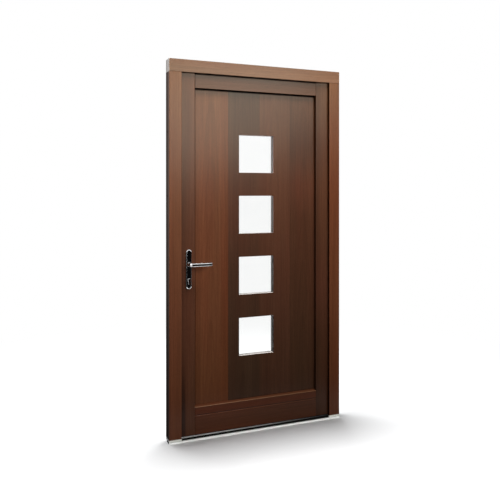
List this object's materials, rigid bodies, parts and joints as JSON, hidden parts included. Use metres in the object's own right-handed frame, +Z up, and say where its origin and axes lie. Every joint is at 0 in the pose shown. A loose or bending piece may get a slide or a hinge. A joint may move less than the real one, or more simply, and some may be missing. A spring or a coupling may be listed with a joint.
{
  "type": "wooden door",
  "caption": "Inward-opening timber entrance door in a rebated frame on a low threshold, with a recessed panel, a column of square windows and lever handles.",
  "frame": {"origin": "middle of the threshold's underside", "axes": "+X to the right seen from outside, +Y from outside to inside, +Z up"},
  "size_m": [1.06, 0.185, 2.1],
  "materials": {
    "frame_wood": "brown stained timber, satin lacquer",
    "leaf_wood": "brown stained timber, satin lacquer",
    "panel_veneer": "brown stained veneer, satin lacquer",
    "panel_core": "rigid insulation",
    "seal": "black seal",
    "threshold_metal": "mill finish",
    "threshold_plastic": "black, ribbed",
    "foot": "light grey",
    "drip_metal": "satin anodised",
    "steel": "satin",
    "cylinder_metal": "satin nickel",
    "dark_chrome": "black chrome, polished",
    "lever_chrome": "polished",
    "window_glass": "clear",
    "spacer_metal": "matt grey"
  },
  "bodies": {
    "frame": {"left_jamb": "frame_wood", "right_jamb": "frame_wood", "head": "frame_wood", "frame_seal": "seal", "strike_plate": "steel", "threshold_nose": "threshold_metal", "threshold_core": "threshold_plastic", "threshold_inner_rail": "threshold_metal", "left_foot": "foot", "right_foot": "foot", "lower_frame_hinge": "steel", "middle_frame_hinge": "steel", "upper_frame_hinge": "steel"},
    "leaf": {"left_stile": "leaf_wood", "right_stile": "leaf_wood", "top_rail": "leaf_wood", "bottom_rail": "leaf_wood", "panel_outer_skin": "panel_veneer", "panel_core": "panel_core", "panel_inner_skin": "panel_veneer", "drip_bar": "drip_metal", "bottom_seal": "seal", "lower_leaf_hinge": "steel", "middle_leaf_hinge": "steel", "upper_leaf_hinge": "steel", "lock_faceplate": "steel", "lock_cylinder": "cylinder_metal", "outer_backplate": "dark_chrome", "inner_backplate": "dark_chrome", "window_1_glass": "window_glass", "window_1_spacer": "spacer_metal", "window_2_glass": "window_glass", "window_2_spacer": "spacer_metal", "window_3_glass": "window_glass", "window_3_spacer": "spacer_metal", "window_4_glass": "window_glass", "window_4_spacer": "spacer_metal"},
    "handle": {"outer_lever": "lever_chrome", "inner_lever": "lever_chrome", "spindle": "steel"}
  },
  "joints": [
    {"name": "leaf_swing", "type": "hinge", "parent": "frame", "child": "leaf", "pos_m": [0.503, 0.054, 1.05], "axis": [0, 0, -1], "range_deg": [0, 100]},
    {"name": "lever_turn", "type": "hinge", "parent": "leaf", "child": "handle", "pos_m": [-0.415, 0.018, 0.972], "axis": [0, 1, 0], "range_deg": [0, 45], "stiffness_Nm_per_rad": 1.5, "springref_deg": -22.92}
  ]
}
